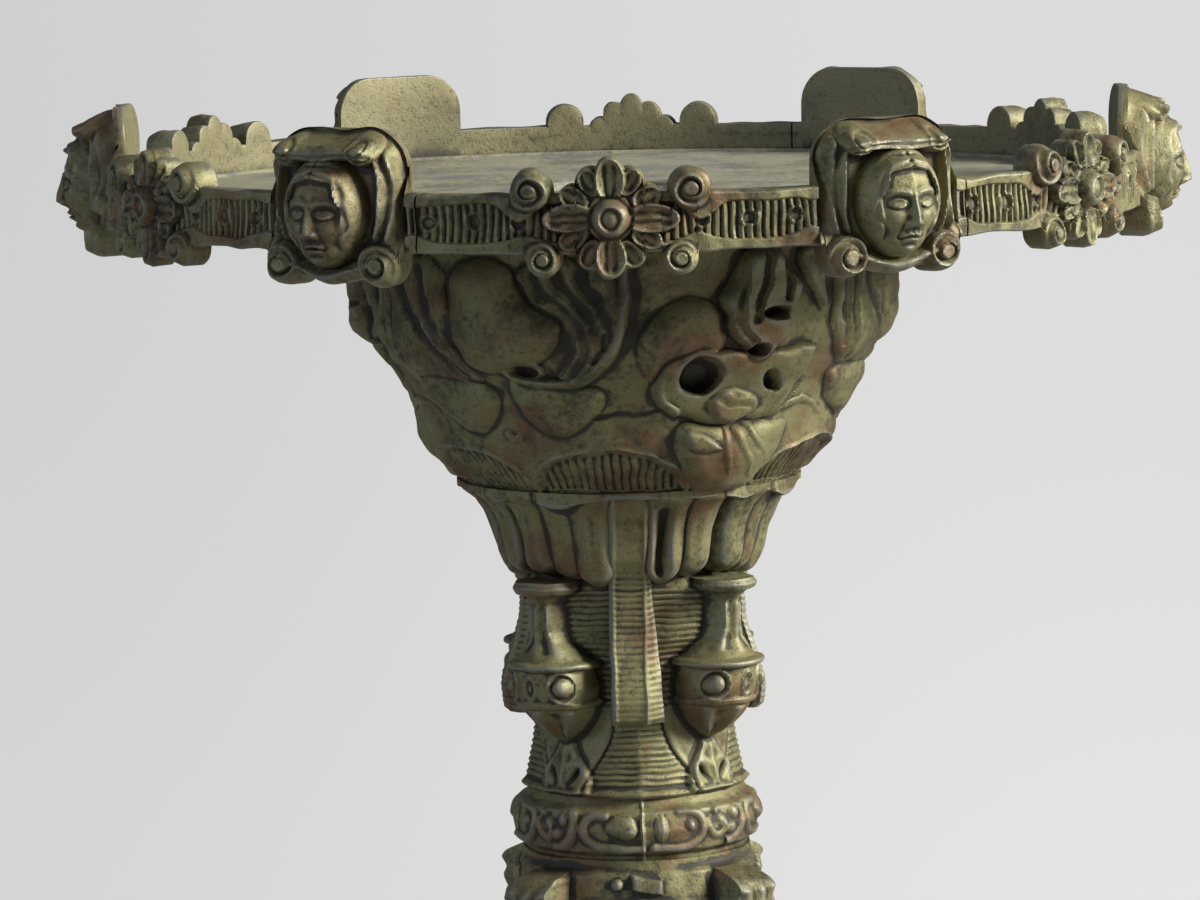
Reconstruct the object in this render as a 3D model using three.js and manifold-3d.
// Cast-metal candlestick with a galleried pan for a thick candle.
// Millimetres, +Z up, origin on the table under the middle. The castings are stacked on one
// threaded rod: base, knop, stem, cup and pan. The front of the object faces -Y.
import * as THREE from 'three';
import Module from 'manifold-3d';
import { mergeVertices } from 'three/addons/utils/BufferGeometryUtils.js';

const wasm = await Module();
wasm.setup();

// Heights of the stacked pieces
const footHeight = 13;
const baseHeight = 49;
const knopHeight = 38;
const stemHeight = 56.8;
const cupHeight = 42;
const floorThickness = 2;
const rimRise = 4.5;
const ledgeThickness = 1.8;
const lugRise = 9.1;

// Fits and clearances
const fitGap = 0.3;
const rodClearance = 0.5;
const registerDepth = 2.5;

// Tie rod, its nuts and washers
const rodRadius = 3;
const rodEndBelowNut = 2;
const nutRadius = 6.5;
const nutHeight = 4;
const washerRadius = 11;
const washerThickness = 1.2;
const panNutRadius = 7;
const panNutHeight = 1.5;
const panWasherRadius = 9.5;
const panWasherThickness = 0.5;
const slotWidth = 1.4;
const slotDepth = 0.9;

// Base casting
const baseRimRadius = 62;
const baseRimHeight = 4;
const baseCoveRadius = 58;
const baseCoveHeight = 8;
const baseShoulderRadius = 52;
const baseShoulderHeight = 19;
const baseSlopeRadius = 38;
const baseSlopeHeight = 28;
const baseThroatRadius = 24;
const baseThroatHeight = 35;
const baseNeckRadius = 18.5;
const baseNeckHeight = 42;
const baseTopRadius = 21;
const baseWall = 3;
const crownThickness = 9;
const crownRadius = 14;
const baseLobes = 4;
const baseLobeDepth = 1.6;

// Feet and their screws
const footCount = 4;
const footShankInset = 2;
const footHeelInset = 19;
const footWidth = 14;
const footWaist = 9;
const footPadThickness = 3;
const footPadWidth = 12;
const footScrewInset = 12.5;
const footScrewRadius = 1.8;
const footScrewDepth = 4;
const footScrewHeadRadius = 3.2;
const footScrewHeadHeight = 1.6;

// Knop casting
const knopTopRadius = 17.2;
const knopBellyRadius = 20.5;
const knopBellyHeight = 27;
const knopWaistRadius = 14.5;
const knopWaistHeight = 9;
const knopFootRadius = 19;
const knopFootHeight = 3.5;
const knopBore = 10.5;
const knopWeb = 4;
const knopVoluteCount = 4;
const knopVoluteRadius = 3.8;
const knopVoluteWidth = 5;
const knopVoluteReach = 20.5;
const knopVoluteDrop = 6;

// Stem casting: a banded foot, a square-faced shaft and a petalled capital
const stemBore = 8;
const bandSeatRadius = 17.4;
const bandRadius = 18.8;
const bandHeight = 8.4;
const shaftFootRadius = 16.8;
const shaftRadius = 15.2;
const shaftWaistHeight = 20;
const shaftFlat = 0.1;
const shaftTopRadius = 16.2;
const ringHeight = 41.2;
const ringRadius = 18.2;
const ringThickness = 2;
const capitalBellyRadius = 20.9;
const capitalBellyHeight = 49;
const capitalShoulderRadius = 22.6;
const capitalShoulderHeight = 52.6;
const capitalRadius = 26.4;
const capitalPetals = 8;
const petalDepth = 0.7;
const stemSides = 4;
const urnDistance = 17.1;
const urnTopHeight = 42;
const urnTopRadius = 6.4;
const urnNeckHeight = 37.5;
const urnNeckRadius = 4.5;
const urnRimHeight = 29.8;
const urnRimRadius = 6.6;
const urnBodyHeight = 25.6;
const urnBodyRadius = 6.3;
const urnCollarHeight = 21.4;
const urnCollarRadius = 4.3;
const urnTipHeight = 17.4;
const urnTipRadius = 0.9;
const studRadius = 2.1;
const studProud = 0.9;
const tongueWidth = 7;
const tongueReach = 19.8;
const tongueNoseHeight = 22.4;
const tongueBellyHeight = 26;

// Cup casting
const cupFootRadius = 25.8;
const cupShoulderRadius = 31;
const cupShoulderHeight = 6.4;
const cupWaistRadius = 32.7;
const cupWaistHeight = 13.2;
const cupFlareRadius = 38.4;
const cupFlareHeight = 21.8;
const cupTopRadius = 39.6;
const cupWall = 3;
const cupWeb = 4;
const cupRegisterRadius = 13;
const cupLobes = 6;
const cupLobeDepth = 0.7;

// Pan floor, a spun disc with a sunk middle for the nut
const recessRadius = 11.5;
const recessSlope = 2;

// Gallery, cast as equal segments that are soldered end to end
const segmentCount = 6;
const galleryInnerRadius = 75;
const galleryWall = 2.4;
const beadProud = 0.9;
const beadHeight = 1.5;
const plinthHeight = 2;
const ledgeWidth = 3.5;
const jointAngle = 9.6;

// Mask unit on each segment
const lugWidth = 22.4;
const lugCorner = 5.8;
const lugThickness = 3.4;
const lugDrop = 13;
const hoodBand = 4.3;
const hoodProud = 1.8;
const hoodDrop = 6;
const browHeight = 4;
const browWidth = 15;
const browProud = 3.8;
const headWidth = 11.6;
const headHeight = 15.2;
const headProud = 7.8;
const headDrop = 2.9;
const noseProud = 1;
const hoodVoluteRadius = 2.4;
const hoodVoluteSpread = 11.8;
const hoodVoluteProud = 4.6;
const chinVoluteRadius = 2.7;
const chinVoluteSpread = 15;
const chinVoluteDrop = 10;
const chinVoluteProud = 2.6;

// Rosette unit on each segment
const rosetteRadius = 8.9;
const rosetteHollow = 6.6;
const rosettePetals = 8;
const rosetteProud = 2.4;
const rosetteBossRadius = 2.9;
const rosetteBossProud = 1.2;
const rosetteDrop = 3.5;
const rosetteBack = 0.5;
const upperScrollRadius = 3;
const upperScrollSpread = 21.6;
const upperScrollRise = 3.6;
const lowerScrollRadius = 2.4;
const lowerScrollSpread = 18.8;
const lowerScrollFall = 6;
const scrollProud = 2;

// The pan and the cup have turned a few degrees on the rod against the stem
const panTurn = -3.7;
const cupTurn = -5.4;

// Levels and radii that follow from the stack
const baseSeat = footHeight;
const footShank = baseRimRadius - footShankInset;
const footHeel = baseRimRadius - footHeelInset;
const footScrewPlace = baseRimRadius - footScrewInset;
const knopSeat = baseSeat + baseHeight;
const stemSeat = knopSeat + knopHeight;
const cupSeat = stemSeat + stemHeight;
const floorSeat = cupSeat + cupHeight;
const floorTop = floorSeat + floorThickness;
const rimTop = floorTop + rimRise;
const galleryFoot = floorSeat - ledgeThickness;
const galleryOuterRadius = galleryInnerRadius + galleryWall;
const floorRadius = galleryInnerRadius - fitGap;
const recessFloor = floorTop - panWasherThickness - panNutHeight;
const rodBore = rodRadius + rodClearance;
const threadBore = rodRadius + fitGap;
const crownUnderside = knopSeat - crownThickness;
const rodBottom = crownUnderside - washerThickness - nutHeight - rodEndBelowNut;
const rodTop = floorTop - fitGap;
const cupRegisterBore = cupRegisterRadius + fitGap;
const stemRegisterRadius = knopBore - fitGap;
const front = -Math.PI / 2;

const roundSteps = 48;
const bodySteps = 40;
const smallSides = 8;

const degrees = THREE.MathUtils.degToRad;

// A geometry as a solid for cutting and joining, with its shared vertices merged.
function solid(geometry) {
  const bare = geometry.index ? geometry.toNonIndexed() : geometry.clone();
  for (const name of Object.keys(bare.attributes)) {
    if (name !== 'position') bare.deleteAttribute(name);
  }
  const merged = mergeVertices(bare, 1e-4);
  const corners = merged.index.array;
  const faces = [];
  for (let i = 0; i < corners.length; i += 3) {
    const [a, b, c] = [corners[i], corners[i + 1], corners[i + 2]];
    if (a !== b && b !== c && a !== c) faces.push(a, b, c);
  }
  return new wasm.Manifold(new wasm.Mesh({
    numProp: 3,
    vertProperties: merged.attributes.position.array,
    triVerts: new Uint32Array(faces),
  }));
}

// The drawn geometry of a solid.
function geometryOf(manifold) {
  const { vertProperties, triVerts } = manifold.getMesh();
  const geometry = new THREE.BufferGeometry();
  geometry.setAttribute('position', new THREE.BufferAttribute(new Float32Array(vertProperties), 3));
  geometry.setIndex(new THREE.BufferAttribute(new Uint32Array(triVerts), 1));
  geometry.computeVertexNormals();
  return geometry;
}

// Several geometries joined into one.
function joined(geometries) {
  return geometryOf(geometries.map(solid).reduce((whole, piece) => whole.add(piece)));
}

// One geometry with others cut out of it.
function cutBy(geometry, cutters) {
  return geometryOf(cutters.map(solid).reduce((left, cutter) => left.subtract(cutter), solid(geometry)));
}

// Sweeps a closed loop of [radius, height] points round the Z axis. The loop may change with the
// angle. It runs up its outer side and down its inner side, so the faces point out.
function sweep(loopAt, steps, start = 0, turn = 2 * Math.PI) {
  const whole = turn === 2 * Math.PI;
  const rings = whole ? steps : steps + 1;
  const count = loopAt(start).length;
  const positions = [];
  const indices = [];
  for (let i = 0; i < rings; i += 1) {
    const angle = start + (turn * i) / steps;
    for (const [radius, height] of loopAt(angle)) {
      positions.push(radius * Math.cos(angle), radius * Math.sin(angle), height);
    }
  }
  for (let i = 0; i < steps; i += 1) {
    const here = i * count;
    const next = ((i + 1) % rings) * count;
    for (let j = 0; j < count; j += 1) {
      const above = (j + 1) % count;
      indices.push(here + j, next + j, next + above, here + j, next + above, here + above);
    }
  }
  if (!whole) {
    const outline = loopAt(start).map(([radius, height]) => new THREE.Vector2(radius, height));
    const end = steps * count;
    for (const [a, b, c] of THREE.ShapeUtils.triangulateShape(outline, [])) {
      indices.push(a, b, c, end + a, end + c, end + b);
    }
  }
  const geometry = new THREE.BufferGeometry();
  geometry.setAttribute('position', new THREE.Float32BufferAttribute(positions, 3));
  geometry.setIndex(indices);
  geometry.computeVertexNormals();
  return geometry;
}

// A solid of revolution about Z whose [radius, height] profile starts and ends on the axis.
function turned(profile, sides) {
  const points = profile.map(([radius, height]) => new THREE.Vector2(radius, height));
  return new THREE.LatheGeometry(points, sides).rotateX(Math.PI / 2);
}

// Evenly spaced points of the smooth curve through a few [radius, height] points.
function smooth(points, samples) {
  const curve = new THREE.SplineCurve(points.map(([radius, height]) => new THREE.Vector2(radius, height)));
  return curve.getPoints(samples).map((point) => [point.x, point.y]);
}

// A ring round the rod between two radii, standing on its lower face.
function collar(inner, outer, bottom, height, sides = 24) {
  const top = bottom + height;
  return sweep(() => [[inner, bottom], [outer, bottom], [outer, top], [inner, top]], sides);
}

// A plate drawn in (across, up) that faces out along +X, from its back face.
function facing(shape, back, thickness, curveSegments = 3) {
  return new THREE.ExtrudeGeometry(shape, { depth: thickness, bevelEnabled: false, curveSegments })
    .rotateX(Math.PI / 2)
    .rotateZ(Math.PI / 2)
    .translate(back, 0, 0);
}

// A round boss whose axis runs out along +X.
function boss(radius, back, thickness, across, up, sides = smallSides) {
  return new THREE.CylinderGeometry(radius, radius, thickness, sides)
    .rotateZ(Math.PI / 2)
    .translate(back + thickness / 2, across, up);
}

const candlestick = new THREE.Group();
const lowerStack = new THREE.Group();
const cupStage = new THREE.Group();
const panStage = new THREE.Group();
cupStage.rotation.z = degrees(cupTurn);
panStage.rotation.z = degrees(panTurn);
candlestick.add(lowerStack, cupStage, panStage);

const castBronze = { color: 0x57502f, roughness: 0.5, metalness: 0.8 };
const wornBronze = { color: 0x6a6a56, roughness: 0.45, metalness: 0.8 };
const steel = { color: 0x6a665f, roughness: 0.5, metalness: 0.9 };

// Puts a named mesh with a finish of its own in a group, turned about the upright axis.
function place(group, name, geometry, finish, turn = 0) {
  const mesh = new THREE.Mesh(geometry, new THREE.MeshStandardMaterial(finish));
  mesh.name = name;
  mesh.rotation.z = turn;
  group.add(mesh);
}

// Base: a hollow bell with four low lobes, a pad inside its rim for each foot and a thick crown
function baseCasting() {
  const outer = [
    [baseRimRadius, 0],
    [baseRimRadius, baseRimHeight],
    ...smooth([
      [baseCoveRadius, baseCoveHeight],
      [baseShoulderRadius, baseShoulderHeight],
      [baseSlopeRadius, baseSlopeHeight],
      [baseThroatRadius, baseThroatHeight],
      [baseNeckRadius, baseNeckHeight],
      [baseTopRadius, baseHeight],
    ], 9),
  ];
  const lobe = (height, angle) => {
    const share = Math.max(0, 1 - height / baseNeckHeight);
    return -baseLobeDepth * share * Math.cos(baseLobes * angle);
  };
  return sweep((angle) => [
    ...outer.map(([radius, height]) => [radius + lobe(height, angle), baseSeat + height]),
    [rodBore, knopSeat],
    [rodBore, crownUnderside],
    [crownRadius, crownUnderside],
    [baseThroatRadius - baseWall, baseSeat + baseThroatHeight - baseWall],
    [baseSlopeRadius - baseWall, baseSeat + baseSlopeHeight - baseWall],
    [baseShoulderRadius - baseWall, baseSeat + baseShoulderHeight - baseWall],
    [baseRimRadius - baseLobeDepth - baseWall, baseSeat + baseRimHeight],
    [baseRimRadius - baseLobeDepth - baseWall, baseSeat],
  ], bodySteps);
}

const footTurns = Array.from({ length: footCount }, (_, i) => ((i + 0.5) * 2 * Math.PI) / footCount);
const footPadInner = footScrewPlace - footPadWidth / 2;
const footPadOuter = baseRimRadius - baseWall;
const footPads = footTurns.map((turn) => new THREE.BoxGeometry(
  footPadOuter - footPadInner,
  footPadWidth,
  footPadThickness,
).translate((footPadInner + footPadOuter) / 2, 0, baseSeat + footPadThickness / 2).rotateZ(turn));
const footScrewHoles = footTurns.map((turn) => new THREE.CylinderGeometry(
  footScrewRadius + fitGap,
  footScrewRadius + fitGap,
  4 * footPadThickness,
  smallSides,
).rotateX(Math.PI / 2).translate(footScrewPlace, 0, baseSeat).rotateZ(turn));
place(lowerStack, 'base_bell', cutBy(joined([baseCasting(), ...footPads]), footScrewHoles), castBronze);

// Feet: scrolls that stand flat on the table, each held by a screw from inside the bell
function footCasting() {
  const scroll = footHeight / 2;
  const outline = new THREE.Shape();
  outline.moveTo(footHeel, footHeight);
  outline.lineTo(footHeel, footWaist);
  outline.quadraticCurveTo(footScrewPlace, footWaist, footShank - scroll / 2, 0);
  outline.lineTo(footShank, 0);
  outline.absarc(footShank, scroll, scroll, -Math.PI / 2, Math.PI / 2);
  outline.closePath();
  const scrollBody = new THREE.ExtrudeGeometry(outline, {
    depth: footWidth,
    bevelEnabled: false,
    curveSegments: 6,
  }).translate(0, 0, -footWidth / 2).rotateX(Math.PI / 2);
  const hole = new THREE.CylinderGeometry(
    footScrewRadius + fitGap,
    footScrewRadius + fitGap,
    2 * (footScrewDepth + fitGap),
    smallSides,
  ).rotateX(Math.PI / 2).translate(footScrewPlace, 0, footHeight);
  return cutBy(scrollBody, [hole]);
}

function footScrew() {
  const padTop = baseSeat + footPadThickness;
  const headTop = padTop + footScrewHeadHeight;
  return turned([
    [0, footHeight - footScrewDepth],
    [footScrewRadius, footHeight - footScrewDepth],
    [footScrewRadius, padTop],
    [footScrewHeadRadius, padTop],
    [footScrewHeadRadius, headTop],
    [0, headTop],
  ], smallSides).translate(footScrewPlace, 0, 0);
}

footTurns.forEach((turn, i) => {
  place(lowerStack, `foot_${i + 1}`, footCasting(), castBronze, turn);
  place(lowerStack, `foot_screw_${i + 1}`, footScrew(), steel, turn);
});

// Rod, with a hex nut and a washer under the crown of the base
place(
  lowerStack,
  'tie_rod',
  turned([[0, rodBottom], [rodRadius, rodBottom], [rodRadius, rodTop], [0, rodTop]], 24),
  steel,
);
place(
  lowerStack,
  'base_washer',
  collar(threadBore, washerRadius, crownUnderside - washerThickness, washerThickness),
  steel,
);

function hexNut() {
  const outline = new THREE.Shape(Array.from({ length: 6 }, (_, i) => {
    const angle = (i * Math.PI) / 3;
    return new THREE.Vector2(nutRadius * Math.cos(angle), nutRadius * Math.sin(angle));
  }));
  const hole = new THREE.Path();
  hole.absarc(0, 0, threadBore, 0, 2 * Math.PI, true);
  outline.holes.push(hole);
  return new THREE.ExtrudeGeometry(outline, { depth: nutHeight, bevelEnabled: false, curveSegments: 24 })
    .translate(0, 0, crownUnderside - washerThickness - nutHeight);
}
place(lowerStack, 'base_nut', hexNut(), steel);

// Knop: a waisted casting whose belly carries four volutes at the corners
function knopCasting() {
  const outer = smooth([
    [knopWaistRadius, knopWaistHeight],
    [(knopWaistRadius + knopBellyRadius) / 2, (knopWaistHeight + knopBellyHeight) / 2],
    [knopBellyRadius, knopBellyHeight],
    [knopTopRadius, knopHeight],
  ], 8);
  const body = sweep(() => [
    [knopFootRadius, knopSeat],
    [knopFootRadius, knopSeat + knopFootHeight],
    ...outer.map(([radius, height]) => [radius, knopSeat + height]),
    [knopBore, stemSeat],
    [knopBore, knopSeat + knopWeb],
    [rodBore, knopSeat + knopWeb],
    [rodBore, knopSeat],
  ], roundSteps / 2);
  const volutes = Array.from({ length: knopVoluteCount }, (_, i) => new THREE.CylinderGeometry(
    knopVoluteRadius,
    knopVoluteRadius,
    knopVoluteWidth,
    smallSides,
  )
    .translate(knopVoluteReach, stemSeat - knopVoluteDrop, 0)
    .rotateX(Math.PI / 2)
    .rotateZ(((i + 0.5) * 2 * Math.PI) / knopVoluteCount));
  return joined([body, ...volutes]);
}
place(lowerStack, 'knop', knopCasting(), castBronze);

// Stem: urns stand engaged at its corners and a ribbed tongue hangs on each side between them
function stemCasting() {
  const squared = ([radius, height]) => [radius, height, shaftFlat];
  const round = ([radius, height]) => [radius, height, 0];
  const outline = [
    round([bandSeatRadius, 0]),
    round([bandRadius, (bandRadius - bandSeatRadius)]),
    round([bandRadius, bandHeight]),
    squared([shaftFootRadius, bandHeight + bandRadius - shaftFootRadius]),
    squared([shaftRadius, shaftWaistHeight]),
    squared([shaftTopRadius, ringHeight - ringThickness]),
    round([ringRadius, ringHeight]),
    round([ringRadius, ringHeight + ringThickness]),
    ...smooth([
      [capitalBellyRadius, capitalBellyHeight],
      [capitalShoulderRadius, capitalShoulderHeight],
      [capitalRadius, stemHeight],
    ], 4).map(round),
  ];
  const petal = (height, angle) => {
    const inCapital = height > ringHeight + ringThickness && height < stemHeight;
    return inCapital ? petalDepth * (Math.cos(capitalPetals * (angle - front)) - 1) : 0;
  };
  const body = sweep((angle) => [
    [stemRegisterRadius, stemSeat - registerDepth],
    [stemRegisterRadius, stemSeat],
    ...outline.map(([radius, height, flat]) => [
      radius * (1 + (flat * (Math.cos(stemSides * angle) - 1)) / 2) + petal(height, angle),
      stemSeat + height,
    ]),
    [cupRegisterBore, cupSeat],
    [cupRegisterBore, cupSeat - registerDepth - fitGap],
    [stemBore, cupSeat - registerDepth - fitGap],
    [stemBore, stemSeat - registerDepth],
  ], bodySteps);
  const urn = [
    [0, urnTipHeight],
    [urnTipRadius, urnTipHeight],
    [urnCollarRadius, urnCollarHeight],
    [urnBodyRadius, urnBodyHeight],
    [urnBodyRadius, urnRimHeight - 1],
    [urnRimRadius, urnRimHeight],
    [urnNeckRadius, urnNeckHeight],
    [urnTopRadius, urnTopHeight],
    [0, urnTopHeight],
  ];
  const tongue = new THREE.Shape();
  tongue.moveTo(stemBore + fitGap, ringHeight - ringThickness);
  tongue.lineTo(stemBore + fitGap, tongueNoseHeight);
  tongue.lineTo(tongueReach - 1, tongueNoseHeight);
  tongue.lineTo(tongueReach, tongueBellyHeight);
  tongue.quadraticCurveTo(
    shaftTopRadius + 1,
    ringHeight - 3 * ringThickness,
    shaftTopRadius,
    ringHeight - ringThickness,
  );
  tongue.closePath();
  const trims = Array.from({ length: stemSides }, (_, i) => {
    const side = (i * 2 * Math.PI) / stemSides;
    const corner = side + Math.PI / stemSides;
    return [
      turned(urn, smallSides + 2).translate(urnDistance, 0, stemSeat).rotateZ(corner),
      boss(studRadius, urnDistance + urnBodyRadius - studProud, 2 * studProud, 0, 0)
        .translate(0, 0, stemSeat + urnBodyHeight)
        .rotateZ(corner),
      new THREE.ExtrudeGeometry(tongue, { depth: tongueWidth, bevelEnabled: false, curveSegments: 3 })
        .translate(0, 0, -tongueWidth / 2)
        .rotateX(Math.PI / 2)
        .translate(0, 0, stemSeat)
        .rotateZ(side),
    ];
  });
  return joined([body, ...trims.flat()]);
}
place(lowerStack, 'stem', stemCasting(), castBronze);

// Cup: a hollow casting with six low lobes that widens to carry the pan
function cupCasting() {
  const outer = smooth([
    [cupFootRadius, 0],
    [cupShoulderRadius, cupShoulderHeight],
    [cupWaistRadius, cupWaistHeight],
    [cupFlareRadius, cupFlareHeight],
    [cupTopRadius, cupHeight],
  ], 9);
  const lobe = (height, angle) => {
    const share = Math.sin((Math.PI * height) / cupHeight);
    return cupLobeDepth * share * Math.cos(cupLobes * (angle - front));
  };
  return sweep((angle) => [
    [cupRegisterRadius, cupSeat - registerDepth],
    [cupRegisterRadius, cupSeat],
    ...outer.map(([radius, height]) => [radius + lobe(height, angle), cupSeat + height]),
    [cupTopRadius - cupWall, floorSeat],
    [cupFlareRadius - cupWall, cupSeat + cupFlareHeight],
    [cupWaistRadius - cupWall - cupLobeDepth, cupSeat + cupWaistHeight],
    [cupFootRadius - cupWall, cupSeat + cupWeb],
    [rodBore, cupSeat + cupWeb],
    [rodBore, cupSeat - registerDepth],
  ], roundSteps);
}
place(cupStage, 'cup', cupCasting(), castBronze);

// Pan floor, with its washer and slotted nut flush in the sunk middle
const panFloor = sweep(() => [
  [floorRadius, floorSeat],
  [floorRadius, floorTop],
  [recessRadius + recessSlope, floorTop],
  [recessRadius, recessFloor],
  [rodBore, recessFloor],
  [rodBore, recessFloor - floorThickness],
  [recessRadius, recessFloor - floorThickness],
  [recessRadius + recessSlope, floorSeat],
], roundSteps);
place(panStage, 'pan_floor', panFloor, wornBronze);
place(panStage, 'pan_washer', collar(threadBore, panWasherRadius, recessFloor, panWasherThickness), steel);

function panNut() {
  const slot = new THREE.BoxGeometry(3 * panNutRadius, slotWidth, 2 * slotDepth).translate(0, 0, floorTop);
  const ring = collar(threadBore, panNutRadius, floorTop - panNutHeight, panNutHeight);
  return cutBy(ring, [slot]);
}
place(panStage, 'pan_nut', panNut(), steel);

// Gallery wall between two joints: a ledge under the floor, a plinth, a sunk field and a top bead
function galleryWallArc() {
  const proud = galleryOuterRadius + beadProud;
  const inset = beadProud / 2;
  const pitch = (2 * Math.PI) / segmentCount;
  const end = degrees(jointAngle);
  const gapAngle = fitGap / galleryInnerRadius;
  return sweep(() => [
    [galleryInnerRadius - ledgeWidth, galleryFoot],
    [proud, galleryFoot],
    [proud, galleryFoot + plinthHeight - inset],
    [galleryOuterRadius, galleryFoot + plinthHeight],
    [galleryOuterRadius, rimTop - beadHeight - inset],
    [proud, rimTop - beadHeight],
    [proud, rimTop],
    [galleryInnerRadius, rimTop],
    [galleryInnerRadius, floorSeat],
    [galleryInnerRadius - ledgeWidth, floorSeat],
  ], roundSteps / segmentCount, end - pitch + gapAngle / 2, pitch - gapAngle);
}

// Outline of the lug: a rectangle with round corners that stands above and below the wall
function lugOutline() {
  const half = lugWidth / 2;
  const [low, high] = [rimTop - lugDrop, rimTop + lugRise];
  const inner = half - lugCorner;
  const shape = new THREE.Shape();
  shape.moveTo(-inner, low);
  shape.lineTo(inner, low);
  shape.absarc(inner, low + lugCorner, lugCorner, -Math.PI / 2, 0);
  shape.absarc(inner, high - lugCorner, lugCorner, 0, Math.PI / 2);
  shape.absarc(-inner, high - lugCorner, lugCorner, Math.PI / 2, Math.PI);
  shape.absarc(-inner, low + lugCorner, lugCorner, Math.PI, 1.5 * Math.PI);
  return shape;
}

// The hood is a band round the top and sides of the lug, open below
function hoodOutline() {
  const half = lugWidth / 2 - fitGap;
  const high = rimTop + lugRise - fitGap;
  const low = rimTop - hoodDrop;
  const inner = half - lugCorner;
  const shape = new THREE.Shape();
  shape.moveTo(half, low);
  shape.absarc(inner, high - lugCorner, lugCorner, 0, Math.PI / 2);
  shape.absarc(-inner, high - lugCorner, lugCorner, Math.PI / 2, Math.PI);
  shape.lineTo(-half, low);
  shape.lineTo(hoodBand - half, low);
  shape.lineTo(hoodBand - half, high - browHeight);
  shape.lineTo(half - hoodBand, high - browHeight);
  shape.lineTo(half - hoodBand, low);
  return shape;
}

// A plain ovoid head, calm and looking straight out, with a brow, a nose and a chin on the
// usual thirds of the face
function head() {
  const geometry = new THREE.SphereGeometry(1, smallSides + 2, smallSides).rotateX(Math.PI / 2).rotateZ(Math.PI / 2);
  const points = geometry.attributes.position;
  for (let i = 0; i < points.count; i += 1) {
    const [x, y, z] = [points.getX(i), points.getY(i), points.getZ(i)];
    const nose = x > 0 ? noseProud * Math.exp(-((y / 0.25) ** 2) - ((z / 0.3) ** 2)) : 0;
    const depth = x > 0 ? headProud : lugThickness / 2 - fitGap;
    points.setXYZ(i, x * depth + nose, (y * headWidth) / 2, (z * headHeight) / 2);
  }
  return geometry.translate(galleryInnerRadius + lugThickness / 2, 0, rimTop - headDrop);
}

function maskUnit() {
  const plateFront = galleryInnerRadius + lugThickness;
  const hoodTop = rimTop + lugRise;
  const sides = [-1, 1];
  return [
    facing(lugOutline(), galleryInnerRadius, lugThickness),
    facing(hoodOutline(), plateFront - fitGap, hoodProud + fitGap),
    new THREE.BoxGeometry(browProud + fitGap, browWidth, browHeight)
      .translate(plateFront + (browProud - fitGap) / 2, 0, hoodTop - fitGap - browHeight / 2),
    head(),
    ...sides.map((side) => boss(
      hoodVoluteRadius,
      plateFront - fitGap,
      hoodVoluteProud,
      (side * hoodVoluteSpread) / 2,
      hoodTop - hoodVoluteRadius,
    )),
    ...sides.map((side) => boss(
      chinVoluteRadius,
      plateFront - fitGap,
      chinVoluteProud,
      (side * chinVoluteSpread) / 2,
      rimTop - chinVoluteDrop,
    )),
  ];
}

function rosetteUnit() {
  const back = galleryInnerRadius + rosetteBack;
  const centre = rimTop - rosetteDrop;
  const face = galleryOuterRadius + rosetteProud;
  const points = 3 * rosettePetals;
  const flower = new THREE.Shape(Array.from({ length: points }, (_, i) => {
    const angle = (2 * Math.PI * i) / points;
    const radius = i % 3 === 0 ? rosetteHollow : rosetteRadius;
    return new THREE.Vector2(radius * Math.sin(angle), centre + radius * Math.cos(angle));
  }).reverse());
  const scrolls = [-1, 1].flatMap((side) => [
    boss(
      upperScrollRadius,
      back,
      galleryOuterRadius + scrollProud - back,
      (side * upperScrollSpread) / 2,
      centre + upperScrollRise,
    ),
    boss(
      lowerScrollRadius,
      back,
      galleryOuterRadius + scrollProud - back,
      (side * lowerScrollSpread) / 2,
      centre - lowerScrollFall,
    ),
  ]);
  return [
    facing(flower, back, face - back),
    boss(rosetteBossRadius, face - fitGap, rosetteBossProud + fitGap, 0, centre),
    ...scrolls,
  ].map((geometry) => geometry.rotateZ(-Math.PI / segmentCount));
}

for (let i = 0; i < segmentCount; i += 1) {
  const turn = front + ((i + 0.5) * 2 * Math.PI) / segmentCount;
  const segment = joined([galleryWallArc(), ...maskUnit(), ...rosetteUnit()]);
  place(panStage, `gallery_segment_${i + 1}`, segment, castBronze, turn);
}

export default candlestick;
